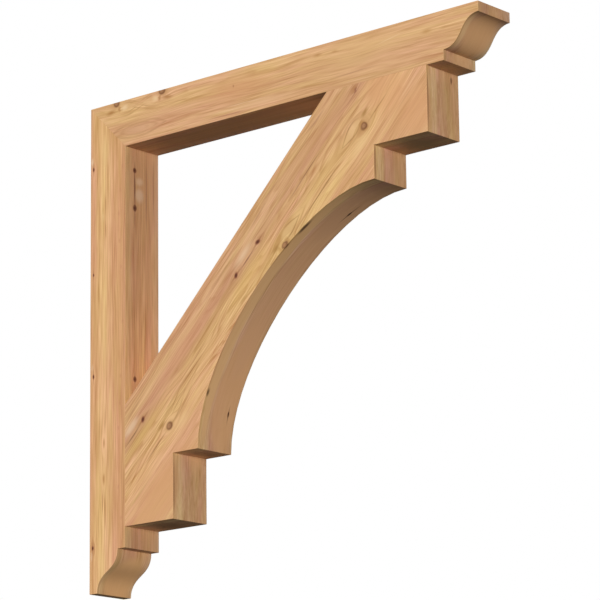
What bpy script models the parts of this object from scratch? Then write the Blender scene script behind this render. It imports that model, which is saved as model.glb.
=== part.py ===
"""Wooden corbel bracket: three softwood timbers of one thickness, joined in one plane.

A post lies against the wall and an arm runs out level from its top, mitred together at
their outer corner. A wide diagonal brace, with stepped ends and a hollow lower edge, bears
flat on the arm's underside and on the post's front. The arm's tip and the post's foot end
in the same ogee moulding.

Metres. X = 0 is the wall face, +X runs out from the wall, +Z is up, and Y = 0 is the
middle of the thickness. The origin is the centre of the post's wall face.
"""

import math

import bmesh
import bpy
from mathutils import Vector

# Driving sizes of the bracket, in metres
PROJECTION = 0.9144
HEIGHT = 0.9144
THICKNESS = 0.0889
ARM_DEPTH = 0.0889
POST_DEPTH = 0.0889
JOINT_GAP = 0.0003

# The moulded end of the arm and of the post: a flat tip, an ogee and a square step
TIP_FLAT = 0.0188
TIP_STEP = 0.0188
OGEE_RUN = 0.0762

# The ogee's curve handles, as shares of its run and of its rise
OGEE_END_PULL = 0.29
OGEE_MIDDLE_PULL = (0.087, 0.20)

# The brace: its setback from the tips, its seats and its two steps at each end
BRACE_SETBACK = 0.1143
BRACE_SEAT = 0.2225
STEP_DROP = 0.1179
STEP_RUN = 0.1186
LIP_DROP = 0.0602

# How far the hollow's curve handles reach, as a share of its width and of its height
HOLLOW_PULL = 0.412

CURVE_STEPS = 32
WELD_DISTANCE = 0.00001

TIMBER_ROUGHNESS = 0.6
POST_COLOUR = "#D3A271"
ARM_COLOUR = "#D3A576"
BRACE_COLOUR = "#C99D70"

TOP = HEIGHT / 2
FOOT = -HEIGHT / 2


def on_arm(back, inward):
    """Place a point by its distance back from the arm's tip and down from its top."""
    return Vector((PROJECTION - back, TOP - inward))


def on_post(back, inward):
    """Place a point by its distance up from the post's foot and out from the wall."""
    return Vector((inward, FOOT + back))


def knot(position, before=None, after=None):
    """An outline point. A side with no handle is straight."""
    return position, before, after


def moulded_end(place, depth):
    """The end of a timber, from the outer corner of its tip round to its inner face.

    The ogee is two cubic curves that meet at its middle. Each starts along the timber and
    steepens towards the middle, so the curve is the same from either end.
    """
    rise = depth - TIP_FLAT - TIP_STEP
    along = Vector((OGEE_END_PULL * OGEE_RUN, 0))
    steep = Vector((OGEE_MIDDLE_PULL[0] * OGEE_RUN, OGEE_MIDDLE_PULL[1] * rise))
    start = Vector((0, TIP_FLAT))
    end = start + Vector((OGEE_RUN, rise))
    middle = (start + end) / 2
    return [
        knot(place(0, 0)),
        knot(place(*start), after=place(*(start + along))),
        knot(place(*middle), place(*(middle - steep)), place(*(middle + steep))),
        knot(place(*end), before=place(*(end - along))),
        knot(place(OGEE_RUN, depth)),
    ]


def arm_outline():
    """The arm, from the mitre's outer corner out to the moulded tip and back."""
    outer = Vector((0, TOP))
    inner = Vector((POST_DEPTH, TOP - ARM_DEPTH))
    return [knot(outer), *moulded_end(on_arm, ARM_DEPTH), knot(inner)]


def post_outline():
    """The post, from the mitre's outer corner down to the moulded foot and back up.

    Its mitre lies below the arm's by the joint gap, measured square to the mitre.
    """
    drop = JOINT_GAP * math.hypot(POST_DEPTH, ARM_DEPTH) / POST_DEPTH
    outer = Vector((0, TOP - drop))
    inner = Vector((POST_DEPTH, TOP - ARM_DEPTH - drop))
    return [knot(outer), *moulded_end(on_post, POST_DEPTH), knot(inner)]


def stepped_end(place, depth):
    """One end of the brace, from the inner end of its seat to the start of the hollow."""
    step_back = BRACE_SETBACK + STEP_RUN
    return [
        place(BRACE_SETBACK + BRACE_SEAT, depth + JOINT_GAP),
        place(BRACE_SETBACK, depth + JOINT_GAP),
        place(BRACE_SETBACK, depth + STEP_DROP),
        place(step_back, depth + STEP_DROP),
        place(step_back, depth + STEP_DROP + LIP_DROP),
    ]


def brace_outline():
    """The brace, from its seat on the arm, round the hollow, to its seat on the post.

    The hollow is one cubic curve. It leaves the upper lip level and reaches the lower lip
    plumb. The straight upper edge closes the outline.
    """
    upper = stepped_end(on_arm, ARM_DEPTH)
    lower = stepped_end(on_post, POST_DEPTH)
    width = upper[-1].x - lower[-1].x
    height = upper[-1].y - lower[-1].y
    level = upper[-1] - Vector((HOLLOW_PULL * width, 0))
    plumb = lower[-1] + Vector((0, HOLLOW_PULL * height))
    return [
        *map(knot, upper[:-1]),
        knot(upper[-1], after=level),
        knot(lower[-1], before=plumb),
        *map(knot, reversed(lower[:-1])),
    ]


def outline_curve(name, outline):
    """A flat, filled curve through the outline, extruded to the timber's thickness."""
    curve = bpy.data.curves.new(name + "_outline", "CURVE")
    curve.dimensions = "2D"
    curve.fill_mode = "BOTH"
    curve.extrude = THICKNESS / 2
    curve.resolution_u = CURVE_STEPS
    spline = curve.splines.new("BEZIER")
    spline.bezier_points.add(len(outline) - 1)
    spline.use_cyclic_u = True
    for point, (position, before, after) in zip(spline.bezier_points, outline):
        point.co = (*position, 0)
        point.handle_left_type = "VECTOR" if before is None else "FREE"
        point.handle_right_type = "VECTOR" if after is None else "FREE"
        if before is not None:
            point.handle_left = (*before, 0)
        if after is not None:
            point.handle_right = (*after, 0)
    return curve


def weld(mesh):
    """Join a filled curve's loose caps to its sides, and face everything outwards."""
    solid = bmesh.new()
    solid.from_mesh(mesh)
    bmesh.ops.remove_doubles(solid, verts=solid.verts, dist=WELD_DISTANCE)
    bmesh.ops.recalc_face_normals(solid, faces=solid.faces)
    solid.to_mesh(mesh)
    solid.free()


def finish(name, hex_colour):
    """A Principled material of one sRGB colour."""
    material = bpy.data.materials.new(name)
    material.use_nodes = True
    shader = material.node_tree.nodes["Principled BSDF"]
    channels = [int(hex_colour[start:start + 2], 16) / 255 for start in (1, 3, 5)]
    linear = [c / 12.92 if c <= 0.04045 else ((c + 0.055) / 1.055) ** 2.4 for c in channels]
    shader.inputs["Base Color"].default_value = (*linear, 1)
    shader.inputs["Roughness"].default_value = TIMBER_ROUGHNESS
    shader.inputs["Metallic"].default_value = 0
    material.diffuse_color = (*linear, 1)
    return material


def timber(name, outline, hex_colour, collection):
    """A timber cut to its outline, which is drawn flat and stood up in the XZ plane."""
    drawing = bpy.data.objects.new(name + "_outline", outline_curve(name, outline))
    drawing.rotation_euler.x = math.pi / 2
    collection.objects.link(drawing)
    bpy.context.view_layer.update()
    depsgraph = bpy.context.evaluated_depsgraph_get()
    mesh = bpy.data.meshes.new_from_object(drawing.evaluated_get(depsgraph))
    mesh.name = name
    weld(mesh)
    mesh.materials.clear()
    mesh.materials.append(finish(name + "_timber", hex_colour))
    piece = bpy.data.objects.new(name, mesh)
    piece.matrix_world = drawing.matrix_world
    collection.objects.link(piece)
    bpy.data.objects.remove(drawing)
    return piece


for item in list(bpy.data.objects):
    bpy.data.objects.remove(item)

bracket = bpy.data.collections.new("corbel_bracket")
bpy.context.scene.collection.children.link(bracket)

timber("post", post_outline(), POST_COLOUR, bracket)
timber("arm", arm_outline(), ARM_COLOUR, bracket)
timber("brace", brace_outline(), BRACE_COLOUR, bracket)
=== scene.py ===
"""A wooden corbel bracket: an upright post, a level arm and a wide diagonal brace.

The three are planed softwood timbers of one thickness. Lengths are in metres. X = 0 is the
wall, +X runs out from it, +Z is up, and the near broad faces look towards -Y.
"""

import math

import bpy
import numpy as np
from mathutils import Matrix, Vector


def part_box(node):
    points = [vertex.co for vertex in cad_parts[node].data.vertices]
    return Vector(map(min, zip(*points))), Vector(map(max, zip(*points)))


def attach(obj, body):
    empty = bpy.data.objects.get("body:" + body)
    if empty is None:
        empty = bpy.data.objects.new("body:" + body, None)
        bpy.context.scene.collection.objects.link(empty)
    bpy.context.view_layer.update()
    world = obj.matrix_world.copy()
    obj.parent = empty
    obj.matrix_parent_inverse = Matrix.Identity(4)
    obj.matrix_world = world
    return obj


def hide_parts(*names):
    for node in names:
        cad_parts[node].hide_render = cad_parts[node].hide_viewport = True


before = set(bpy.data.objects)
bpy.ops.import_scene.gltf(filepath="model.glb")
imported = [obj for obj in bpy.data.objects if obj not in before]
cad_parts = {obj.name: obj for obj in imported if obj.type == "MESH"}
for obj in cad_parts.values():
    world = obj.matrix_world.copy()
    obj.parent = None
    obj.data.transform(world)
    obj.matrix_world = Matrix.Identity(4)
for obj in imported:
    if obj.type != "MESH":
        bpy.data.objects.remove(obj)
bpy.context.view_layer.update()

# Post
# A squared fir timber planed on all sides, with its grain running up. Its top is mitred to
# meet the arm, and its foot is cut to an ogee between a flat tip and a square step.

post_low, post_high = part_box("post")
arm_low, arm_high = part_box("arm")
TOP = arm_high.z
FOOT = post_low.z
PROJECTION = arm_high.x
POST_DEPTH = post_high.x
ARM_DEPTH = TOP - arm_low.z
HALF_THICK = arm_high.y

# The ogee's flat tip, square step and run, and the reach of its curves' handles: at its
# ends as a share of its run, and at its middle as shares of its run and rise
TIP_FLAT = 0.0188
TIP_STEP = 0.0188
OGEE_RUN = 0.0762
OGEE_END_PULL = 0.29
OGEE_MIDDLE_PULL = np.array([0.087, 0.20])

# Glued joints close to a hair
JOINT = 0.00005

# Mesh steps, and the small round that fine sanding leaves on every edge but the joints'
FACE_STEP = 0.008
CURVE_STEPS = 20
ARRIS = 0.0006
ARRIS_SEGMENTS = 2
SHARP = math.radians(25)


def cubic(start, leave, arrive, end):
    """The cubic curve (1-t)^3 start + 3(1-t)^2 t leave + 3(1-t)t^2 arrive + t^3 end."""
    t = np.linspace(0, 1, CURVE_STEPS + 1)[:, None]
    return ((1 - t) ** 3 * start + 3 * (1 - t) ** 2 * t * leave
            + 3 * (1 - t) * t ** 2 * arrive + t ** 3 * end)


def straight(start, end):
    """Even points from start to end, at most a face step apart."""
    steps = math.ceil(np.linalg.norm(end - start) / FACE_STEP)
    return start + np.linspace(0, 1, steps + 1)[:, None] * (end - start)


def joined(*stretches):
    """One path from stretches that each start where the one before ends."""
    return np.vstack([stretches[0], *(stretch[1:] for stretch in stretches[1:])])


def moulded_edge(depth):
    """The moulded end, as distances back from the tip and in from the outer face.

    From the flat tip the ogee runs back along two cubic curves that mirror each other
    through its middle, and a square step brings it out to the inner face.
    """
    rise = depth - TIP_FLAT - TIP_STEP
    start = np.array([0, TIP_FLAT])
    end = start + [OGEE_RUN, rise]
    middle = (start + end) / 2
    along = np.array([OGEE_END_PULL * OGEE_RUN, 0])
    steep = OGEE_MIDDLE_PULL * [OGEE_RUN, rise]
    return joined(
        cubic(start, start + along, middle - steep, middle),
        cubic(middle, middle + steep, end - along, end),
        straight(end, np.array([OGEE_RUN, depth])),
    )


def board(name, outer_start, outer_end, inner, joints):
    """A timber's mesh: two ruled faces, and the band that joins their outlines.

    Row i of a face is the straight line from the outer edge, at the share of its length
    that inner[i] has of the inner path, to inner[i]. Columns divide each row evenly, and
    the band's layers divide the thickness evenly. Joints are the rows, first or last, that
    bear on another timber: their arrises stay sharp.
    """
    steps = np.linalg.norm(np.diff(inner, axis=0), axis=1)
    share = np.concatenate([[0], np.cumsum(steps)]) / steps.sum()
    outer = outer_start + share[:, None] * (outer_end - outer_start)
    widest = np.linalg.norm(inner - outer, axis=1).max()
    columns = math.ceil(widest / FACE_STEP)
    across = np.linspace(0, 1, columns + 1)[None, :, None]
    face = outer[:, None] + across * (inner - outer)[:, None]
    flat = face.reshape(-1, 2)

    near = np.arange(len(flat)).reshape(face.shape[:2])
    rim = np.concatenate([near[:, 0], near[-1, 1:], near[-2::-1, -1], near[0, -2:0:-1]])
    layers = math.ceil(2 * HALF_THICK / FACE_STEP)
    depths = np.linspace(-HALF_THICK, HALF_THICK, layers + 1)
    between = 2 * near.size + np.arange((layers - 1) * rim.size).reshape(layers - 1, -1)
    band = np.vstack([rim, between, rim + near.size])

    def at(points, depth):
        return np.column_stack([points[:, 0], np.full(len(points), depth), points[:, 1]])

    places = np.vstack([
        at(flat, depths[0]),
        at(flat, depths[-1]),
        *(at(flat[rim], depth) for depth in depths[1:-1]),
    ])
    quads = np.stack([near[:-1, :-1], near[1:, :-1], near[1:, 1:], near[:-1, 1:]], -1)
    quads = quads.reshape(-1, 4)
    far = quads[:, ::-1] + near.size
    following = np.roll(band, -1, axis=1)
    sides = [band[:-1], band[1:], following[1:], following[:-1]]
    sides = np.stack(sides, -1).reshape(-1, 4)
    mesh = bpy.data.meshes.new(name)
    mesh.from_pydata(places.tolist(), [], np.vstack([quads, far, sides]).tolist())
    mesh.shade_smooth()
    cut_edge = mesh.attributes.new("cut_edge", "FLOAT", "FACE")
    cut_edge.data.foreach_set("value", np.repeat([0.0, 1.0], [2 * len(quads), len(sides)]))

    # Arrises are the outline on both faces and the lines across the band at its corners.
    # The free ones get the small round, and those of the joints stay sharp.
    ahead = np.roll(flat[rim], -1, axis=0) - flat[rim]
    behind = np.roll(ahead, 1, axis=0)
    sine = behind[:, 0] * ahead[:, 1] - behind[:, 1] * ahead[:, 0]
    corner = np.abs(np.arctan2(sine, np.sum(behind * ahead, axis=1))) > SHARP
    jointed = np.isin(rim, near[joints])
    free = ~(jointed & np.roll(jointed, -1))
    around = np.stack([rim, np.roll(rim, -1)], -1)
    along = np.stack([band[:-1], band[1:]], -1)
    edges = np.empty(2 * len(mesh.edges), int)
    mesh.edges.foreach_get("vertices", edges)
    edges = np.sort(edges.reshape(-1, 2), axis=1)

    def among(around, along):
        """Whether each of the mesh's edges is one of these pairs of points."""
        pairs = np.vstack([around, around + near.size, along.reshape(-1, 2)])
        return np.isin(edges @ [len(places), 1], np.sort(pairs, axis=1) @ [len(places), 1])

    rounded = among(around[free], along[:, corner & ~jointed])
    sharp = among(around, along[:, corner]) & ~rounded
    weight = mesh.attributes.new("bevel_weight_edge", "FLOAT", "EDGE")
    weight.data.foreach_set("value", rounded.astype(float))
    creases = mesh.attributes.new("sharp_edge", "BOOLEAN", "EDGE")
    creases.data.foreach_set("value", sharp)
    timber = bpy.data.objects.new(name, mesh)
    bpy.context.scene.collection.objects.link(timber)
    eased = timber.modifiers.new("eased_arris", "BEVEL")
    eased.width = ARRIS
    eased.segments = ARRIS_SEGMENTS
    eased.limit_method = "WEIGHT"
    eased.harden_normals = True
    return timber


foot_end = moulded_edge(POST_DEPTH)
foot_end = np.column_stack([foot_end[:, 1], FOOT + foot_end[:, 0]])
mitre_drop = JOINT * math.hypot(POST_DEPTH, ARM_DEPTH) / POST_DEPTH
post_inner = joined(
    straight(np.array([POST_DEPTH, TOP - ARM_DEPTH - mitre_drop]), foot_end[-1]),
    foot_end[::-1],
)
post = board(
    "post_timber",
    np.array([0, TOP - mitre_drop]),
    np.array([0, FOOT]),
    post_inner,
    joints=[0],
)


def linear(hex_colour):
    """An sRGB hex colour as linear red, green, blue and alpha."""
    srgb = np.array([int(hex_colour[i:i + 2], 16) for i in (1, 3, 5)]) / 255
    low = srgb / 12.92
    high = ((srgb + 0.055) / 1.055) ** 2.4
    return (*np.where(srgb <= 0.04045, low, high).tolist(), 1)


def add(tree, kind, inputs, stops=(), **settings):
    """Add a node and its links.

    Inputs are values, sockets, or nodes, which stand for their first output. They go by a
    socket's name or number: a Map Range's 1 to 4 are the range it reads and the range it
    gives, and a Mix's two are 2 and 3 for numbers, 4 and 5 for vectors, 6 and 7 for
    colours. Stops are a colour ramp's (place, hex colour) pairs, and settings are the
    node's properties.
    """
    made = tree.nodes.new(kind)
    for name, value in settings.items():
        setattr(made, name, value)
    for socket, value in inputs.items():
        if isinstance(value, bpy.types.Node):
            value = value.outputs[0]
        if isinstance(value, bpy.types.NodeSocket):
            tree.links.new(value, made.inputs[socket])
        else:
            made.inputs[socket].default_value = value
    # A new ramp has two stops already
    for index, (place, hex_colour) in enumerate(stops):
        ramp = made.color_ramp.elements
        stop = ramp[index] if index < 2 else ramp.new(place)
        stop.position = place
        stop.color = linear(hex_colour)
    return made


def new_group(name, sockets, result):
    """An empty node group with these (name, kind) inputs and one output."""
    group = bpy.data.node_groups.new(name, "ShaderNodeTree")
    for label, kind in sockets:
        group.interface.new_socket(label, in_out="INPUT", socket_type="NodeSocket" + kind)
    group.interface.new_socket(result[0], in_out="OUTPUT", socket_type="NodeSocket" + result[1])
    return group


# The grain parts round a knot as water does round a post: a point is drawn back towards the
# knot's middle, across the grain, by its distance over the square of its reach.
parting = new_group(
    "grain_parting",
    [("Grain", "Vector"), ("Place", "Vector"), ("Reach", "Vector"), ("Share", "Vector")],
    ("Grain", "Vector"),
)
given = parting.nodes.new("NodeGroupInput").outputs
away = add(parting, "ShaderNodeVectorMath", {0: given["Grain"], 1: given["Place"]}, operation="SUBTRACT")
scaled = add(parting, "ShaderNodeVectorMath", {0: away, 1: given["Reach"]}, operation="MULTIPLY")
square = add(parting, "ShaderNodeVectorMath", {0: scaled, 1: scaled}, operation="DOT_PRODUCT")
outside = add(parting, "ShaderNodeMath", {0: square.outputs["Value"], 1: 1.0}, operation="MAXIMUM")
inverse = add(parting, "ShaderNodeMath", {0: 1.0, 1: outside}, operation="DIVIDE")
pulled = add(parting, "ShaderNodeVectorMath", {0: away, 1: given["Share"]}, operation="MULTIPLY")
pulled = add(parting, "ShaderNodeVectorMath", {0: pulled, "Scale": inverse}, operation="SCALE")
moved = add(parting, "ShaderNodeVectorMath", {0: given["Grain"], 1: pulled}, operation="SUBTRACT")
add(parting, "NodeGroupOutput", {0: moved})


def from_middle(tree, given):
    """A point's distance from a mark's middle, less its slope across, in half-lengths.

    The groups for marks and lenses work on whole vectors and never split one, nor turn one
    kind of value into another: the renderer would keep each piece until the last mark, and
    a shader that keeps too much comes out black.
    """
    away = add(tree, "ShaderNodeVectorMath", {0: given["Grain"], 1: given["Place"]}, operation="SUBTRACT")
    along = add(tree, "ShaderNodeVectorMath", {0: away, 1: (1, 0, 0)}, operation="DOT_PRODUCT")
    tilt = add(
        tree, "ShaderNodeMath", {0: along.outputs["Value"], 1: given["Slope"]}, operation="MULTIPLY"
    )
    tilt = add(tree, "ShaderNodeCombineXYZ", {2: tilt})
    away = add(tree, "ShaderNodeVectorMath", {0: away, 1: tilt}, operation="SUBTRACT")
    return add(tree, "ShaderNodeVectorMath", {0: away, 1: given["Reach"]}, operation="MULTIPLY")


# A mark is a soft-edged ellipsoid in the wood: a knot, a check, a dark streak, a pale patch, or painted
# shade on an underside.
# It fades in from its rim to its core, and its slope tilts it across the grain.
marking = new_group(
    "wood_mark",
    [("Tone", "Vector"), ("Grain", "Vector"), ("Place", "Vector"), ("Reach", "Vector"),
     ("Slope", "Float"), ("Tint", "Vector"), ("Strength", "Float"), ("Core", "Float")],
    ("Tone", "Vector"),
)
given = marking.nodes.new("NodeGroupInput").outputs
far = add(marking, "ShaderNodeVectorMath", {0: from_middle(marking, given)}, operation="LENGTH")
inside = add(
    marking,
    "ShaderNodeMapRange",
    {0: far.outputs["Value"], 1: 1.0, 2: given["Core"], 3: 0.0, 4: given["Strength"]},
    interpolation_type="SMOOTHSTEP",
)
mixed = add(
    marking, "ShaderNodeMix", {0: inside, 4: given["Tone"], 5: given["Tint"]}, data_type="VECTOR"
)
add(marking, "NodeGroupOutput", {0: mixed.outputs[1]})

# Growth lines close to a pointed lens on either side of a knot: a thin dark outline round
# paler wood, where (along)^2 + (through)^2 + |across| / (1 + taper * along) is one. The
# outline fades over LENS_LINE of the half-width, and is open where the taper makes the lens
# LENS_OPEN times as wide. The fill has LENS_FILL of its strength, from LENS_CORE inwards.
LENS_LINE = 0.26
LENS_OPEN = 1.5
LENS_FILL = 0.36
LENS_CORE = 0.5
NARROWEST = 0.1
closing = new_group(
    "wood_lens",
    [("Tone", "Vector"), ("Grain", "Vector"), ("Place", "Vector"), ("Reach", "Vector"),
     ("Slope", "Float"), ("Taper", "Float"), ("Line", "Vector"), ("Fill", "Vector"),
     ("Strength", "Float"), ("Broken", "Float")],
    ("Tone", "Vector"),
)
given = closing.nodes.new("NodeGroupInput").outputs
scaled = from_middle(closing, given)
along, through, across = (
    add(closing, "ShaderNodeVectorMath", {0: scaled, 1: axis}, operation="DOT_PRODUCT").outputs["Value"]
    for axis in ((1, 0, 0), (0, 1, 0), (0, 0, 1))
)
wide = add(closing, "ShaderNodeMath", {0: across}, operation="ABSOLUTE")
share = add(closing, "ShaderNodeMath", {0: along, 1: given["Taper"], 2: 1.0}, operation="MULTIPLY_ADD")
share = add(closing, "ShaderNodeMath", {0: share, 1: NARROWEST}, operation="MAXIMUM")
wide = add(closing, "ShaderNodeMath", {0: wide, 1: share}, operation="DIVIDE")
far = add(closing, "ShaderNodeMath", {0: along, 1: along, 2: wide}, operation="MULTIPLY_ADD")
far = add(closing, "ShaderNodeMath", {0: through, 1: through, 2: far}, operation="MULTIPLY_ADD")
fill = add(closing, "ShaderNodeMath", {0: given["Strength"], 1: LENS_FILL}, operation="MULTIPLY")
inside = add(
    closing,
    "ShaderNodeMapRange",
    {0: far, 1: 1.0, 2: LENS_CORE, 3: 0.0, 4: fill},
    interpolation_type="SMOOTHSTEP",
)
filled = add(
    closing, "ShaderNodeMix", {0: inside, 4: given["Tone"], 5: given["Fill"]}, data_type="VECTOR"
)
on = add(closing, "ShaderNodeMath", {0: given["Strength"], 1: given["Broken"]}, operation="MULTIPLY")
shut = add(closing, "ShaderNodeMapRange", {0: share, 1: LENS_OPEN, 2: 1.0})
on = add(closing, "ShaderNodeMath", {0: on, 1: shut}, operation="MULTIPLY")
off = add(closing, "ShaderNodeMath", {0: far, 1: 1.0}, operation="SUBTRACT")
off = add(closing, "ShaderNodeMath", {0: off}, operation="ABSOLUTE")
on_line = add(
    closing,
    "ShaderNodeMapRange",
    {0: off, 1: LENS_LINE, 2: 0.0, 3: 0.0, 4: on},
    interpolation_type="SMOOTHSTEP",
)
lined = add(
    closing, "ShaderNodeMix", {0: on_line, 4: filled.outputs[1], 5: given["Line"]}, data_type="VECTOR"
)
add(closing, "NodeGroupOutput", {0: lined.outputs[1]})

# A planed face cuts the growth rings at a low angle, so their dark lines lie far apart
# there. They are drawn wider than the real 3 mm, to show. A ring starts pale, darkens
# slowly, and ends in a thin brown line.
RING_WIDTH = 4.4
RING_SLOPE = 0.55
RING_PROFILE = [(0, "#000000"), (0.5, "#303030"), (0.82, "#FFFFFF"), (0.92, "#FFFFFF"), (1, "#000000")]
RING_MEAN = 0.31
WAVE_SIZE = (150, 70, 60)
ACROSS_ON_CUTS = 0.15

# The figure's noises: their size in mm along, through and across, detail and roughness.
# Bands and fibres are drawn wider than the real 0.1 mm cells, to show.
WANDER = ((330, 60, 42), 2.0, 0.5)
STREAK = ((250, 10, 10), 4.0, 0.62)
BAND = ((130, 4.6, 4.6), 2.0, 0.5)
FIBRE = ((72, 2.2, 2.2), 2.0, 0.6)
HUE = ((240, 30, 22), 4.0, 0.65)

# How far each moves the tint, more so where the growth lines are strong, and what it does
# to red, green and blue: a darker streak is browner, and broad zones turn rose to gold
STREAK_GAIN = 0.7
BAND_GAIN = 0.5
FIBRE_GAIN = 1.0
QUIET = 0.66
LIVELY = 2.0
DARK_TO_LIGHT = (0.73, 1.0, 1.34)
ROSE_TO_GOLD = (-0.1, 0.3, -0.5)

# Marks' edges stray by these millimetres, and a lens's outline breaks up along the bands
RAGGED = (12, 3, 3)
BAND_RANGE = (0.32, 0.66)
BROKEN = (0.25, 1.1)

# Planed and sanded, not oiled: a satin surface, with its late wood a hair proud
SPECULAR = 0.35
IOR = 1.5
FIBRE_RANGE = (0.3, 0.7)
ROUGHNESS = (0.52, 0.68)
LATE_RELIEF = 2.0
RELIEF_STRENGTH = 0.5
RELIEF_DEPTH = 0.0001


MM = 1000


def over(size):
    """One over each length."""
    return tuple(1 / length for length in size)


def planed_fir(name, turn, place, wave, wander, face, cut, figure, knots, lenses, marks):
    """Planed, unfinished Douglas fir, in millimetres along, through and across the timber.

    The eye gets soft tan and rose bands, thin brown growth lines that part round small
    tight knots, and a dull satin surface. Wave and wander are how far the grain and its
    growth lines stray from straight. Face, cut and figure are (millimetre, colour) stops:
    the broad faces' tint across, the cut edges' tint through the thickness, and how strong
    the growth lines are across. Knots are (place, half-lengths, way across), lenses are
    (place, half-lengths, line colour, fill colour, strength, slope, taper), and marks are
    (place, half-lengths, colour, strength, core, slope).
    """
    fir = bpy.data.materials.new(name)
    fir.use_nodes = True
    tree = fir.node_tree
    shader = tree.nodes["Principled BSDF"]
    shader.inputs["Specular IOR Level"].default_value = SPECULAR
    shader.inputs["IOR"].default_value = IOR

    here = add(tree, "ShaderNodeTexCoord", {}).outputs["Object"]
    here = add(
        tree,
        "ShaderNodeMapping",
        {"Vector": here, "Location": place, "Rotation": (0, turn, 0), "Scale": (MM, MM, MM)},
        vector_type="POINT",
    )
    edge = add(tree, "ShaderNodeAttribute", {}, attribute_name="cut_edge").outputs["Fac"]

    # The grain parts round each knot, and on the cut edges changes little across
    grain = here
    for spot, half, share in knots:
        grain = add(
            tree,
            "ShaderNodeGroup",
            {"Grain": grain, "Place": spot, "Reach": over(half), "Share": share},
            node_tree=parting,
        )
    parts = add(tree, "ShaderNodeSeparateXYZ", {0: grain}).outputs
    keep = add(tree, "ShaderNodeMapRange", {0: edge, 3: 1.0, 4: ACROSS_ON_CUTS})
    across = add(tree, "ShaderNodeMath", {0: parts[2], 1: keep}, operation="MULTIPLY")
    waves = add(tree, "ShaderNodeVectorMath", {0: grain, 1: over(WAVE_SIZE)}, operation="MULTIPLY")
    waves = add(tree, "ShaderNodeTexNoise", {"Vector": waves, "Scale": 1.0, "Detail": 1.0})
    across = add(tree, "ShaderNodeMath", {0: waves, 1: 2 * wave, 2: across}, operation="MULTIPLY_ADD")
    across = add(tree, "ShaderNodeMath", {0: across, 1: wave}, operation="SUBTRACT")
    grain = add(tree, "ShaderNodeCombineXYZ", {0: parts[0], 1: parts[1], 2: across})
    noises = []
    for size, detail, rough in (WANDER, STREAK, BAND, FIBRE, HUE):
        spot = add(tree, "ShaderNodeVectorMath", {0: grain, 1: over(size)}, operation="MULTIPLY")
        noises.append(add(
            tree,
            "ShaderNodeTexNoise",
            {"Vector": spot, "Scale": 1.0, "Detail": detail, "Roughness": rough},
        ))
    stray, streak, band, fibre, hue = noises

    # Growth rings
    rings = add(tree, "ShaderNodeMath", {0: across, 1: RING_SLOPE, 2: parts[1]}, operation="MULTIPLY_ADD")
    rings = add(tree, "ShaderNodeMath", {0: stray, 1: 2 * wander, 2: rings}, operation="MULTIPLY_ADD")
    rings = add(tree, "ShaderNodeMath", {0: rings, 1: RING_WIDTH}, operation="DIVIDE")
    rings = add(tree, "ShaderNodeMath", {0: rings}, operation="FRACT")
    late = add(tree, "ShaderNodeValToRGB", {0: rings}, stops=RING_PROFILE)
    late = add(tree, "ShaderNodeSeparateColor", {0: late})
    late = add(tree, "ShaderNodeMath", {0: late, 1: RING_MEAN}, operation="SUBTRACT")

    # Broad tints across the faces and through the cut edges, and the growth lines' strength
    sides = add(tree, "ShaderNodeSeparateXYZ", {0: here}).outputs
    ramps = []
    for way, stops in ((across, face), (sides[1], cut), (sides[2], figure)):
        low, high = stops[0][0], stops[-1][0]
        way = add(tree, "ShaderNodeMapRange", {0: way, 1: low, 2: high})
        stops = [((spot - low) / (high - low), tint) for spot, tint in stops]
        ramps.append(add(tree, "ShaderNodeValToRGB", {0: way}, stops=stops))
    face_tint, cut_tint, strength = ramps
    tint = add(tree, "ShaderNodeMix", {0: edge, 6: face_tint, 7: cut_tint}, data_type="RGBA").outputs[2]
    hue = add(tree, "ShaderNodeMath", {0: hue, 1: 0.5}, operation="SUBTRACT")
    hue = add(tree, "ShaderNodeVectorMath", {0: ROSE_TO_GOLD, "Scale": hue}, operation="SCALE")
    hue = add(tree, "ShaderNodeVectorMath", {0: hue, 1: (1, 1, 1)}, operation="ADD")
    tint = add(tree, "ShaderNodeVectorMath", {0: tint, 1: hue}, operation="MULTIPLY")

    # Streaks, bands, fibres and growth lines make the tint darker and lighter
    lines = add(tree, "ShaderNodeMath", {0: late, 1: strength}, operation="MULTIPLY")
    middle = -(STREAK_GAIN + BAND_GAIN + FIBRE_GAIN) / 2
    tone = add(tree, "ShaderNodeMath", {0: streak, 1: STREAK_GAIN, 2: middle}, operation="MULTIPLY_ADD")
    tone = add(tree, "ShaderNodeMath", {0: band, 1: BAND_GAIN, 2: tone}, operation="MULTIPLY_ADD")
    tone = add(tree, "ShaderNodeMath", {0: fibre, 1: FIBRE_GAIN, 2: tone}, operation="MULTIPLY_ADD")
    life = add(tree, "ShaderNodeMath", {0: strength, 1: LIVELY, 2: QUIET}, operation="MULTIPLY_ADD")
    tone = add(tree, "ShaderNodeMath", {0: tone, 1: life}, operation="MULTIPLY")
    tone = add(tree, "ShaderNodeMath", {0: tone, 1: lines}, operation="SUBTRACT")
    tone = add(tree, "ShaderNodeVectorMath", {0: DARK_TO_LIGHT, "Scale": tone}, operation="SCALE")
    tone = add(tree, "ShaderNodeVectorMath", {0: tone, 1: (1, 1, 1)}, operation="ADD")
    colour = add(tree, "ShaderNodeVectorMath", {0: tint, 1: tone}, operation="MULTIPLY")

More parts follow.
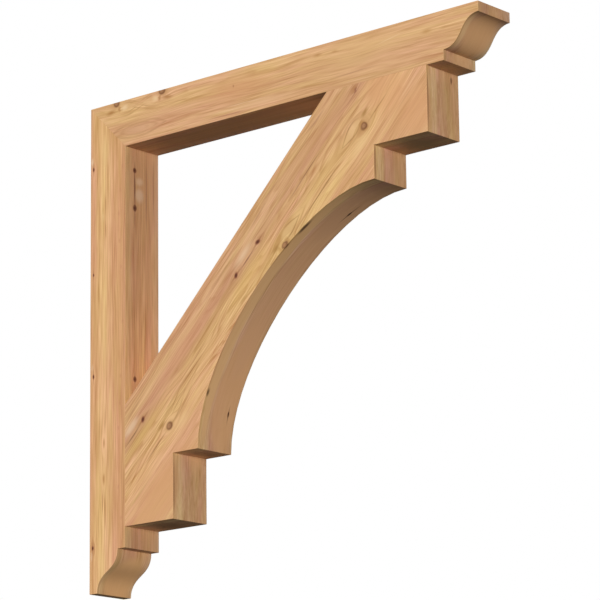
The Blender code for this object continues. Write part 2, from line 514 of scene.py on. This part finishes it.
    # Lenses, knots, checks, streaks and patches, their edges ragged by the fibres
    ragged = add(tree, "ShaderNodeCombineXYZ", {0: fibre, 1: band, 2: fibre})
    ragged = add(tree, "ShaderNodeVectorMath", {0: ragged, 1: RAGGED, 2: here}, operation="MULTIPLY_ADD")
    middle = tuple(reach / 2 for reach in RAGGED)
    ragged = add(tree, "ShaderNodeVectorMath", {0: ragged, 1: middle}, operation="SUBTRACT")
    broken = {0: band, 1: BAND_RANGE[0], 2: BAND_RANGE[1], 3: BROKEN[0], 4: BROKEN[1]}
    broken = add(tree, "ShaderNodeMapRange", broken)
    for spot, half, line_colour, fill_colour, strength, slope, taper in lenses:
        colour = add(
            tree,
            "ShaderNodeGroup",
            {
                "Tone": colour,
                "Grain": ragged,
                "Place": spot,
                "Reach": over(half),
                "Slope": slope,
                "Taper": taper,
                "Line": linear(line_colour)[:3],
                "Fill": linear(fill_colour)[:3],
                "Strength": strength,
                "Broken": broken,
            },
            node_tree=closing,
        )
    for spot, half, hex_colour, strength, core, slope in marks:
        colour = add(
            tree,
            "ShaderNodeGroup",
            {
                "Tone": colour,
                "Grain": ragged,
                "Place": spot,
                "Reach": over(half),
                "Slope": slope,
                "Tint": linear(hex_colour)[:3],
                "Strength": strength,
                "Core": core,
            },
            node_tree=marking,
        )
    tree.links.new(colour.outputs[0], shader.inputs["Base Color"])

    rough = {0: fibre, 1: FIBRE_RANGE[0], 2: FIBRE_RANGE[1], 3: ROUGHNESS[0], 4: ROUGHNESS[1]}
    rough = add(tree, "ShaderNodeMapRange", rough)
    tree.links.new(rough.outputs[0], shader.inputs["Roughness"])
    height = add(tree, "ShaderNodeMath", {0: lines, 1: LATE_RELIEF, 2: fibre}, operation="MULTIPLY_ADD")
    relief = {"Height": height, "Strength": RELIEF_STRENGTH, "Distance": RELIEF_DEPTH}
    relief = add(tree, "ShaderNodeBump", relief)
    tree.links.new(relief.outputs[0], shader.inputs["Normal"])
    return fir


# In mm: half a timber's thickness, the place just inside its near face where marks are
# centred, and how far through the timber a line or a patch reaches
HALF = 44.45
NEAR = -44.4
DEEP = 20


def pin_knot(along, through, across, size, lean=0):
    """Marks of a small tight knot: a brown streak each way, red-brown wood, a dark middle."""
    spot = (along, through, across)
    long, deep, wide = size
    return [
        (spot, (4.5 * long, deep, 0.6 * wide), "#9A6640", 0.7, 0.1, 0),
        (spot, (1.15 * long, deep, 1.1 * wide), "#88503A", 0.9, 0.4, lean),
        (spot, (0.75 * long, deep, 0.75 * wide), "#512D21", 0.8, 0.25, lean),
    ]


def ring_knot(along, across, long, wide, deep=28):
    """Marks of a larger knot: a brown halo, a dark ring of bark, a paler heart and a pith."""
    spot = (along, NEAR, across)
    inner = (along - 0.1 * long, NEAR, across + 0.12 * wide)
    return [
        (spot, (2.1 * long, deep, 1.45 * wide), "#B38450", 0.6, 0.1, 0),
        (spot, (1.08 * long, deep, wide), "#744A30", 0.85, 0.55, 0),
        (inner, (0.8 * long, deep, 0.74 * wide), "#B4855D", 0.85, 0.2, 0),
        (spot, (0.3 * long, deep, 0.3 * wide), "#8A6048", 0.45, 0.1, 0),
    ]


def side_knot(along, through, size):
    """Marks of a pin knot on the face that looks out from the wall."""
    spot = (along, through, NEAR)
    return [
        (spot, (4 * size, 0.5 * size, 14), "#8F5E42", 0.6, 0.1, 0),
        (spot, (1.1 * size, 0.95 * size, 14), "#6E402C", 0.9, 0.5, 0),
        (spot, (0.5 * size, 0.4 * size, 14), "#44271C", 0.75, 0.2, 0),
    ]


def line(along, across, long, tint, slope=0, wide=1.9, strength=0.75):
    """The mark of one thin growth line or streak on the near face."""
    return ((along, NEAR, across), (long, DEEP, wide), tint, strength, 0.1, slope)


def zone(along, across, long, wide, tint, strength=0.5, core=0):
    """The mark of a broad soft patch on the near face."""
    return ((along, NEAR, across), (long, DEEP, wide), tint, strength, core, 0)


POST_KNOTS = [
    ((339, NEAR, 37), (10, 30, 4.5), (0, 0, 1)),
    ((-56, NEAR, 36), (10, 30, 4.5), (0, 0, 1)),
    ((-375, NEAR, 36), (11, 30, 5), (0, 0, 1)),
    ((-250, NEAR, 9), (26, 30, 4), (0, 0, 1)),
    ((-182, NEAR, 9), (26, 30, 4), (0, 0, 1)),
    ((326, -19, NEAR), (12, 4.5, 30), (0, 1, 0)),
    ((255, -19, NEAR), (12, 4.5, 30), (0, 1, 0)),
    ((-68, -18.6, NEAR), (12, 4.5, 30), (0, 1, 0)),
]
POST_MARKS = [
    # Golden zones, rosy blotches and thin growth lines of the near face
    zone(-405, 12, 44, 13, "#E4BE82", 0.65),
    zone(-10, 9, 80, 10, "#E2BC80", 0.5),
    zone(365, 8, 46, 12, "#E4BF84", 0.65),
    zone(110, 6, 60, 8, "#E0B87C", 0.4),
    *[zone(u, w, 7, 4, "#BE8663", 0.5) for u, w in (
        (-370, -36), (-325, -35), (-268, -28), (-160, -28), (-115, -31), (-64, -33),
        (36, -38), (140, -34), (190, -30), (242, -28), (286, -32), (331, -38))],
    line(-306, 5.5, 42, "#A87442", 0.02),
    line(-290, 11.5, 34, "#A87442", -0.03, 1.6),
    line(-250, 9, 15, "#B07B45", 0, 3.4),
    line(-182, 9, 15, "#B07B45", 0, 3.4),
    line(-138, 6, 40, "#A87442", -0.02),
    line(-214, -2, 46, "#B07F50", 0, 1.5, 0.6),
    line(-200, 19, 70, "#B4814F", 0.01, 1.6, 0.55),
    line(-330, 22, 50, "#B4814F", -0.01, 1.6, 0.5),
    line(218, 5.5, 26, "#A87442", 0.03),
    line(266, 5.5, 26, "#A87442", -0.03),
    line(242, 12, 14, "#E6C28C", 0, 3, 0.6),
    line(60, 16, 60, "#B4814F", 0.01, 1.5, 0.45),
    line(170, -12, 70, "#B98556", -0.01, 1.8, 0.5),
    line(40, -20, 80, "#B98556", 0.01, 1.6, 0.5),
    line(-300, -20, 70, "#B98556", 0.01, 1.6, 0.5),
    # Patches, streaks, a check and knots of the face that looks out from the wall
    ((325, 3, NEAR), (170, 62, 24), "#C39268", 0.5, 0, 0),
    ((120, 13, NEAR), (110, 15, 20), "#D0A273", 0.45, 0, 0),
    ((280, -7, NEAR), (19, 16, 10), "#DCB898", 0.65, 0.3, 0),
    ((307, -7, NEAR), (11, 15, 10), "#DDB895", 0.6, 0.2, 0),
    ((290, 12, NEAR), (110, 2.6, 10), "#9D6B50", 0.65, 0.2, 0),
    ((300, 31, NEAR), (90, 2.4, 10), "#9D6B50", 0.55, 0.2, 0),
    ((215, 21, NEAR), (60, 2, 10), "#A77556", 0.45, 0.2, 0),
    ((90, -4, NEAR), (60, 3, 10), "#B07B52", 0.5, 0.1, 0),
    ((291, -19, NEAR), (38, 1.9, 12), "#6B4030", 0.85, 0.5, 0),
    ((232, -19.5, NEAR), (22, 2, 12), "#9A6A4C", 0.6, 0.2, 0),
    *side_knot(326, -19, 6.2),
    *side_knot(255, -19, 6.8),
    *side_knot(-68, -18.6, 6),
    # Knots of the near face, with paler wood beside them
    ((353, NEAR, 40), (11, 15, 4), "#E6C29C", 0.8, 0.2, 0),
    ((-40, NEAR, 39), (10, 15, 4), "#DDB690", 0.6, 0.2, 0),
    ((-389, NEAR, 39), (11, 15, 4), "#DFB892", 0.7, 0.2, 0),
    *pin_knot(339, NEAR, 37, (5, 20, 3)),
    *pin_knot(136, NEAR, 36.6, (3.6, 20, 2.4)),
    *pin_knot(-56, NEAR, 36, (5, 20, 3)),
    *pin_knot(-375, NEAR, 36, (5.2, 20, 3.3)),
    # The foot's ogee, sawn and sanded more even than the faces, with a lighter near edge
    ((-432, 2.5, 0), (50, 46.5, 80), "#DEAB74", 0.85, 0.6, 0),
    ((-448, -36, 0), (18, 8.3, 80), "#E8BE88", 0.5, 0.3, 0),
]
post.data.materials.append(planed_fir(
    "planed_fir_post",
    turn=math.pi / 2,
    place=(0, 0, HALF),
    wave=1.5,
    wander=11,
    face=[(-HALF, "#C59368"), (-30, "#CE9A6C"), (-8, "#D7A876"), (12, "#DEB07C"), (24, "#D7A774"),
          (36, "#D29E70"), (HALF, "#CD9C72")],
    cut=[(-HALF, "#D0A570"), (-34, "#CAA06E"), (-24, "#C7956B"), (-8, "#CB986E"), (0, "#CE9B6F"),
         (16, "#CF9B6F"), (32, "#D2A274"), (HALF, "#D0A67F")],
    figure=[(-HALF, "#5C5C5C"), (-20, "#606060"), (0, "#6C6C6C"), (24, "#6C6C6C"), (HALF, "#585858")],
    knots=POST_KNOTS,
    lenses=[],
    marks=POST_MARKS,
))
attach(post, "root")
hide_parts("post")

# Arm
# The same timber laid level on its edge, mitred to the post and moulded at its free end in
# the same ogee, upside down.

tip_end = moulded_edge(ARM_DEPTH)
tip_end = np.column_stack([PROJECTION - tip_end[:, 0], TOP - tip_end[:, 1]])
arm_inner = joined(tip_end, straight(tip_end[-1], np.array([POST_DEPTH, TOP - ARM_DEPTH])))
arm = board("arm_timber", np.array([PROJECTION, TOP]), np.array([0, TOP]), arm_inner, joints=[-1])
ARM_KNOTS = [
    ((67, NEAR, 42), (20, 30, 9), (0, 0, 1)),
    ((181, NEAR, 42), (20, 30, 9), (0, 0, 1)),
    ((124, NEAR, -16), (50, 30, 5), (0, 0, 1)),
]
ARM_LENSES = [
    ((99, NEAR, 29), (27, 25, 8.5), "#9C6E3C", "#E4C08C", 0.6, -0.03, -0.7),
    ((151, NEAR, 29), (26, 25, 8.5), "#9C6E3C", "#E4C08A", 0.6, 0.03, 0.7),
    ((102, NEAR, 28), (40, 25, 12.5), "#A87A46", "#DBB07A", 0.5, -0.02, -0.7),
    ((148, NEAR, 28), (40, 25, 12.5), "#A87A46", "#DBB07A", 0.5, 0.02, 0.7),
    ((122, NEAR, -17), (70, 25, 15), "#A2764C", "#CFA27A", 0.5, 0, 0),
    ((122, NEAR, -17), (48, 25, 10), "#A67A50", "#CFA27A", 0.45, 0, 0),
    ((122, NEAR, -17), (27, 25, 5), "#A2764C", "#CFA27A", 0.45, 0, 0),
]
ARM_MARKS = [
    # Rosy and golden zones
    zone(370, 8, 130, 34, "#D0976C", 0.6),
    zone(670, 2, 210, 60, "#D7AA7B", 0.35, 0.3),
    zone(110, 0, 90, 14, "#CFA66E", 0.3),
    zone(110, -18, 62, 15, "#CB9C78", 0.25),
    zone(430, -30, 130, 8, "#E0B48A", 0.5),
    zone(655, -4, 60, 14, "#D5AC7A", 0.5),
    zone(700, 24, 110, 12, "#DDB07C", 0.4),
    ((87, NEAR, 30), (13, 20, 8), "#EECDA0", 0.7, 0, 0.1),
    ((165, NEAR, 31), (12, 20, 8), "#ECCA9A", 0.7, 0, -0.1),
    ((52, NEAR, 27), (19, 20, 7), "#AA7743", 0.85, 0, 0.1),
    ((196, NEAR, 28), (19, 20, 7), "#AC7945", 0.85, 0, -0.1),
    ((74, NEAR, 30), (5, 20, 9), "#A87444", 0.7, 0.1, 0),
    ((176, NEAR, 30), (5, 20, 9), "#A87444", 0.7, 0.1, 0),
    line(230, 14, 70, "#B5834F", -0.04, 1.6, 0.5),
    line(290, 33, 60, "#B5834F", 0.03, 1.6, 0.4),
    *ring_knot(67, 41.5, 9.5, 8.5),
    *ring_knot(181, 41.5, 9.5, 8.5),
    # Streaks and small brown spots further out
    line(345, -38, 66, "#A9705A", -0.015, 2.2, 0.65),
    line(395, -24, 80, "#E8C09A", -0.01, 1.7, 0.6),
    line(350, -30, 60, "#E8C09A", -0.02, 1.6, 0.5),
    line(330, 4, 90, "#BC8058", -0.03, 2, 0.5),
    line(520, -14, 70, "#B98660", -0.03, 1.8, 0.5),
    line(560, 16, 50, "#B98A56", -0.05, 1.8, 0.5),
    line(640, -22, 80, "#AE7E5A", 0.03, 2.2, 0.6),
    line(650, -38, 60, "#E2B58C", 0, 2, 0.6),
    line(720, 20, 40, "#E8C296", 0.16, 1.8, 0.6),
    line(760, -2, 60, "#B58558", 0.03, 1.8, 0.6),
    line(800, -18, 60, "#B98960", 0.04, 1.8, 0.5),
    line(790, 30, 60, "#BD8C58", 0.02, 1.6, 0.5),
    ((558, NEAR, 27), (15, 20, 5), "#B5844E", 0.7, 0, 0),
    ((597, NEAR, 25), (12, 20, 3.6), "#B5844E", 0.6, 0, 0),
    ((803, NEAR, 15), (17, 20, 6), "#B98A52", 0.7, 0, 0),
    ((842, NEAR, 14), (15, 20, 4), "#BD8D58", 0.55, 0, 0),
    ((358, NEAR, 13), (2.4, 20, 4.5), "#A56E4A", 0.65, 0.2, 0),
    # The tip's ogee, sanded the same, and the step beside it
    ((880, 2.5, 0), (46, 46.5, 80), "#DAA775", 0.85, 0.6, 0),
    ((880, -36, 0), (46, 8.3, 80), "#E8BE88", 0.6, 0.3, 0),
    ((838, 2.5, -36), (6, 46.5, 14), "#DDAC7D", 0.6, 0.5, 0),
    # The underside, painted darker and less red than the other cut faces: painted shade under the arm
    ((360, 3, -46), (330, 46, 14), "#BF946A", 0.6, 0.3, 0),
]
arm.data.materials.append(planed_fir(
    "planed_fir_arm",
    turn=0,
    place=(0, 0, HALF - MM * TOP),
    wave=4,
    wander=20,
    face=[(-HALF, "#CF9F73"), (-20, "#D3A476"), (0, "#D2A375"), (20, "#D8AB79"), (HALF, "#D5A677")],
    cut=[(-HALF, "#CDA071"), (-26, "#C0926B"), (0, "#CC9E72"), (16, "#C7996E"), (HALF, "#C9A582")],
    figure=[(-HALF, "#5C5C5C"), (0, "#5E5E5E"), (HALF, "#5A5A5A")],
    knots=ARM_KNOTS,
    lenses=ARM_LENSES,
    marks=ARM_MARKS,
))
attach(arm, "root")
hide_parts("arm")

# Brace
# A wide plank of the same fir set on the slant, its grain along its straight upper edge.
# Its ends are sawn in square steps, and its lower edge is sawn to one long hollow.

# The length of its seats, the drop and run of its steps, the drop of the small lip before
# the hollow, and the reach of the hollow's handles as a share of its run
BRACE_SEAT = 0.2225
STEP_DROP = 0.1179
STEP_RUN = 0.1186
LIP_DROP = 0.0602
HOLLOW_PULL = 0.412
brace_low, brace_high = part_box("brace")
arm_seat = TOP - ARM_DEPTH
seat_x = POST_DEPTH + JOINT
seat_z = arm_seat - JOINT
outer_x = brace_high.x
lip_x = outer_x - STEP_RUN
step_x = POST_DEPTH + STEP_DROP
hollow_x = step_x + LIP_DROP
step_z = arm_seat - STEP_DROP
hollow_z = step_z - LIP_DROP
foot_z = brace_low.z
lip_z = foot_z + STEP_RUN
hollow_start = np.array([lip_x, hollow_z])
hollow_end = np.array([hollow_x, lip_z])
pull_x = HOLLOW_PULL * (lip_x - hollow_x)
pull_z = HOLLOW_PULL * (hollow_z - lip_z)
hollow = cubic(hollow_start, hollow_start - [pull_x, 0], hollow_end + [0, pull_z], hollow_end)


def stepped(*corners):
    """Straight stretches from corner to corner."""
    return [straight(np.array(a), np.array(b)) for a, b in zip(corners, corners[1:])]


upper = stepped((outer_x, seat_z), (outer_x, step_z), (lip_x, step_z), (lip_x, hollow_z))
lower = stepped((hollow_x, lip_z), (step_x, lip_z), (step_x, foot_z), (seat_x, foot_z))
brace = board(
    "brace_timber",
    np.array([outer_x - BRACE_SEAT, seat_z]),
    np.array([seat_x, foot_z + BRACE_SEAT]),
    joined(*upper, hollow, *lower),
    joints=[0, -1],
)

# Zero across the brace is its straight upper edge, this many mm below the slant line
# through the origin
BRACE_EDGE = 148.0
BRACE_KNOTS = [
    ((-14, NEAR, -55), (14, 30, 6), (0, 0, 1)),
    ((20, NEAR, -115), (24, 34, 11), (0, 0, 1)),
    ((309, NEAR, -55), (14, 30, 6), (0, 0, 1)),
    ((382, NEAR, -55), (14, 30, 6), (0, 0, 1)),
    ((415, NEAR, -112), (26, 34, 11), (0, 0, 1)),
    ((440, NEAR, -100), (42, 30, 10), (0, 0, 1)),
    ((672, NEAR, -114), (24, 34, 11), (0, 0, 1)),
    ((646, NEAR, -100), (42, 30, 10), (0, 0, 1)),
    ((705, NEAR, -55), (12, 30, 5), (0, 0, 1)),
    ((516, 24, -140), (20, 5, 30), (0, 1, 0)),
    ((86, 25, -159), (16, 5, 30), (0, 1, 0)),
]
BRACE_LENSES = [
    ((442, NEAR, -100), (32, 20, 9.5), "#805628", "#E6C48C", 1.0, -0.05, -0.5),
    ((444, NEAR, -100), (50, 20, 15), "#A67C46", "#DDB678", 0.35, -0.03, -0.4),
    ((646, NEAR, -100), (31, 20, 9.5), "#8A6030", "#E6C48C", 0.85, 0.05, 0.5),
    ((642, NEAR, -100), (50, 20, 15), "#A67C46", "#DDB678", 0.35, 0.03, 0.4),
    ((50, NEAR, -105), (40, 20, 10), "#A07543", "#E0BA80", 0.6, 0.16, -0.5),
    ((70, NEAR, -101), (70, 20, 15), "#A67C46", "#DDB27C", 0.4, 0.12, -0.3),
]
BRACE_MARKS = [
    # Rose, gold, salmon and pale zones
    zone(140, -45, 190, 26, "#CF9870", 0.5),
    zone(620, -40, 200, 28, "#CB976C", 0.4),
    zone(-30, -76, 110, 14, "#CFA765", 0.6),
    zone(330, -84, 120, 20, "#D9B06E", 0.65),
    zone(560, -100, 130, 24, "#DDB578", 0.6),
    zone(150, -100, 110, 22, "#DEB07C", 0.5),
    zone(-70, -190, 130, 46, "#D39F71", 0.75, 0.5),
    zone(748, -110, 66, 70, "#D8A273", 0.7, 0.3),
    zone(760, -200, 70, 56, "#D6A072", 0.7, 0.3),
    zone(-42, -42, 34, 10, "#DDBB97", 0.8, 0.2),
    zone(345, -43, 44, 11, "#E5C09A", 0.8, 0),
    zone(44, -133, 36, 13, "#E4BC88", 0.6),
    zone(645, -132, 40, 14, "#E6C08A", 0.6),
    line(-118, -144, 40, "#BA965A", 0, 4, 0.5),
    # Dark spindles near the upper edge
    line(-15, -24, 46, "#A97C52", 0.02, 3, 0.6),
    line(10, -18, 36, "#B28560", 0, 2, 0.5),
    line(140, -14, 50, "#B58A60", 0, 3, 0.45),
    line(285, -25, 80, "#AE8058", 0.02, 3, 0.6),
    line(330, -16, 60, "#B58862", 0.03, 2, 0.5),
    line(418, -22, 50, "#AA7B58", 0.05, 3, 0.6),
    line(468, -16, 38, "#AA7B58", -0.04, 2.6, 0.6),
    line(616, -16, 40, "#A97A58", -0.05, 3.4, 0.65),
    line(560, -22, 44, "#B38660", 0.03, 2, 0.5),
    # Wavy growth lines of the lively band
    line(125, -89, 66, "#A06F3E", -0.02, 2.4, 0.8),
    line(152, -80, 46, "#A27242", 0.03, 2.1, 0.7),
    line(110, -98, 60, "#A97844", 0.06, 2, 0.65),
    line(180, -109, 24, "#B4704C", 0.08, 2, 0.65),
    line(250, -103, 40, "#B98A58", 0.05, 1.7, 0.5),
    line(60, -94, 34, "#A87844", 0.28, 1.9, 0.7),
    line(56, -103, 34, "#AE7E4C", 0.16, 1.6, 0.6),
    line(500, -84, 90, "#B08852", 0, 1.8, 0.55),
    line(540, -93, 70, "#B08852", 0.03, 1.6, 0.5),
    line(528, -115, 100, "#946C3C", 0, 2.3, 0.75),
    line(545, -104, 50, "#B58C56", -0.02, 1.6, 0.5),
    line(760, -158, 44, "#BE8F62", 0, 2.4, 0.5),
    line(775, -150, 40, "#E6BC90", 0.03, 2.2, 0.5),
    line(720, -135, 50, "#BE9262", 0, 1.8, 0.45),
    # Knots, each with a brown patch beside it and a dark tail along the grain
    ((6, NEAR, -101), (18, 20, 7), "#A3783F", 0.75, 0.1, 0),
    ((398, NEAR, -100), (17, 20, 6), "#A3783F", 0.75, 0.1, 0),
    ((689, NEAR, -100), (17, 20, 6), "#A3783F", 0.75, 0.1, 0),
    ((288, NEAR, -100), (19, 20, 4), "#AD8348", 0.6, 0.1, 0),
    line(-30, -117, 52, "#98693C", 0, 2.4, 0.75),
    line(712, -118, 44, "#A17442", 0, 2.2, 0.7),
    *ring_knot(18.5, -116, 9.5, 9),
    *ring_knot(415, -112, 10, 7.5, 9),
    *ring_knot(671, -116, 9.5, 9),
    # Pin knots joined by a check
    line(-50, -57, 36, "#805A42", 0, 1.9, 0.8),
    line(345, -57, 36, "#8C6048", 0, 1.9, 0.8),
    line(700, -57, 34, "#A2734F", 0.03, 2.2, 0.6),
    *pin_knot(-14, NEAR, -55, (6.5, 24, 5.6), 0.3),
    *pin_knot(309, NEAR, -55, (6.5, 24, 5.6), 0.3),
    *pin_knot(382, NEAR, -55, (6.5, 24, 5.6), -0.3),
    ((706, NEAR, -55), (5.5, 24, 4.5), "#946048", 0.75, 0.3, 0),
    line(545, -62.5, 52, "#8A5D40", 0, 2.3, 0.75),
    line(505, -64, 36, "#94674A", 0, 1.8, 0.6),
    zone(545, -73, 26, 8, "#B98256", 0.5),
    # The hollow, smoother and more even than the faces
    ((130, 13, -150), (200, 36, 80), "#DDA878", 0.8, 0.7, 0),
    ((340, 13, -130), (220, 36, 60), "#D9A67A", 0.75, 0.7, 0),
    ((540, 13, -150), (130, 36, 70), "#D09F76", 0.7, 0.7, 0),
    ((300, -30.5, -140), (360, 13.2, 110), "#E3B27C", 0.85, 0.7, 0),
    # The undersides of its steps, painted darker: painted shade
    ((700, 3, -199), (44, 46, 44), "#B39264", 0.75, 0.3, 0),
    ((9, 3, -178), (22, 46, 22), "#A87D58", 0.7, 0.3, 0),
    ((-138, 3, -199), (44, 46, 44), "#A67C54", 0.7, 0.3, 0),
    # The hollow's knots and dark spots
    ((516, 24, -140), (36, 2, 34), "#6E5038", 0.8, 0.2, 0),
    ((516, 24, -140), (9, 3, 14), "#3C281B", 0.95, 0.4, 0),
    ((86, 25, -159), (22, 1.8, 22), "#84603F", 0.75, 0.2, 0),
    ((86, 25, -159), (7, 2.8, 12), "#553524", 0.95, 0.4, 0),
    ((462, -40, -124), (26, 5.6, 16), "#5E4028", 0.9, 0.2, 0),
    ((118, -41, -148), (12, 5, 9), "#64452B", 0.9, 0.2, 0),
    ((817.5, 24, -166.5), (6.5, 2.3, 2.6), "#5A3424", 0.9, 0.3, 1),
    # Darker strips on the cut faces just inside the steps' near arrises
    ((784, -41, -199), (64, 3.3, 64), "#B3835A", 0.8, 0.5, 0),
    ((637, -41, -178), (40, 3.3, 40), "#B3835A", 0.8, 0.5, 0),
    ((-55, -41, -199), (64, 3.3, 64), "#B3835A", 0.8, 0.5, 0),
]
brace.data.materials.append(planed_fir(
    "planed_fir_brace",
    turn=math.pi / 4,
    place=(0, 0, BRACE_EDGE),
    wave=5,
    wander=30,
    face=[(-230, "#D5A77A"), (-175, "#D19F72"), (-145, "#D4A475"), (-125, "#DBAE79"), (-92, "#D3A574"),
          (-75, "#CEA16E"), (-55, "#C6966D"), (-32, "#D0A275"), (-12, "#CE9F71"), (0, "#CFA173")],
    cut=[(-HALF, "#D6A771"), (-41, "#D9AA74"), (-37, "#DCB07C"), (-28, "#E0B785"), (-22, "#DDB281"),
         (-14, "#D3A279"), (9, "#CF9D74"), (24, "#D2A074"), (32, "#D4A375"), (HALF, "#CDA272")],
    figure=[(-230, "#4C4C4C"), (-150, "#545454"), (-126, "#646464"), (-112, "#8C8C8C"),
            (-80, "#8C8C8C"), (-62, "#626262"), (0, "#6C6C6C")],
    knots=BRACE_KNOTS,
    lenses=BRACE_LENSES,
    marks=BRACE_MARKS,
))
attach(brace, "root")
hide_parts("brace")

# Camera
# A long lens, low and to the right of the bracket, so that the timbers' undersides and the
# faces that look out from the wall show beside the near broad faces.

CAMERA_PLACE = (3.91145, -4.00233, -1.25965)
CAMERA_AZIMUTH = math.radians(40.674)
CAMERA_ELEVATION = math.radians(-13.617)
CAMERA_ROLL = math.radians(-0.741)
CAMERA_LENS_MM = 185.63
SENSOR_MM = 36

lens = bpy.data.cameras.new("camera")
lens.lens = CAMERA_LENS_MM
lens.sensor_width = SENSOR_MM
camera = bpy.data.objects.new("camera", lens)
camera.matrix_world = (
    Matrix.Translation(CAMERA_PLACE)
    @ Matrix.Rotation(CAMERA_AZIMUTH, 4, "Z")
    @ Matrix.Rotation(math.pi / 2 - CAMERA_ELEVATION, 4, "X")
    @ Matrix.Rotation(CAMERA_ROLL, 4, "Z")
)
bpy.context.scene.collection.objects.link(camera)
bpy.context.scene.camera = camera

# Studio
# Three wide soft lights and an even white surround: the key from the front and right, one
# from overhead, and one behind for the sides that the key leaves dark.

KEY_AZIMUTH = math.radians(32.5)
KEY_ELEVATION = math.radians(-3.5)
KEY_SPREAD = math.radians(16)
KEY_LEVEL = 1.12
OVERHEAD_SPREAD = math.radians(30)
OVERHEAD_LEVEL = 0.8
BACK_AZIMUTH = math.radians(215)
BACK_ELEVATION = math.radians(25)
BACK_LEVEL = 0.8

# The surround looks white but gives little light, so that the undersides stay dark
SURROUND_LEVEL = 0.04

# The floor lies far down, so that it hides nothing when the bracket is seen from below
FLOOR_Z = -6.0
FLOOR_RADIUS = 20.0
FLOOR_SIDES = 64
FLOOR_COLOUR = "#F6F5F2"
FLOOR_ROUGHNESS = 0.9


def soft_light(name, azimuth, elevation, spread, level):
    """A wide, far light. At level 1 a face square to it shows its own colour."""
    light = bpy.data.lights.new(name, "SUN")
    light.angle = spread
    light.energy = math.pi * level
    lamp = bpy.data.objects.new(name, light)
    lamp.rotation_euler = (math.pi / 2 - elevation, 0, azimuth)
    bpy.context.scene.collection.objects.link(lamp)


soft_light("key_light", KEY_AZIMUTH, KEY_ELEVATION, KEY_SPREAD, KEY_LEVEL)
soft_light("overhead_light", 0, math.pi / 2, OVERHEAD_SPREAD, OVERHEAD_LEVEL)
soft_light("back_light", BACK_AZIMUTH, BACK_ELEVATION, KEY_SPREAD, BACK_LEVEL)

world = bpy.data.worlds.new("studio")
world.use_nodes = True
bpy.context.scene.world = world
tree = world.node_tree
seen = add(tree, "ShaderNodeLightPath", {})
level = add(tree, "ShaderNodeMix", {0: seen.outputs["Is Camera Ray"], 2: SURROUND_LEVEL, 3: 1.0})
background = tree.nodes["Background"]
tree.links.new(level.outputs[0], background.inputs["Strength"])
background.inputs["Color"].default_value = (1, 1, 1, 1)
bpy.context.scene.view_settings.view_transform = "Standard"

turn = np.linspace(0, 2 * math.pi, FLOOR_SIDES, endpoint=False)
rim = FLOOR_RADIUS * np.column_stack([np.cos(turn), np.sin(turn), 0 * turn])
floor_mesh = bpy.data.meshes.new("floor")
floor_mesh.from_pydata((rim + [0, 0, FLOOR_Z]).tolist(), [], [list(range(FLOOR_SIDES))])
floor = bpy.data.objects.new("floor", floor_mesh)
bpy.context.scene.collection.objects.link(floor)
matt = bpy.data.materials.new("matt_white_floor")
matt.use_nodes = True
shader = matt.node_tree.nodes["Principled BSDF"]
shader.inputs["Base Color"].default_value = linear(FLOOR_COLOUR)
shader.inputs["Roughness"].default_value = FLOOR_ROUGHNESS
floor_mesh.materials.append(matt)
floor.visible_diffuse = False
floor.visible_glossy = False
floor.visible_shadow = False
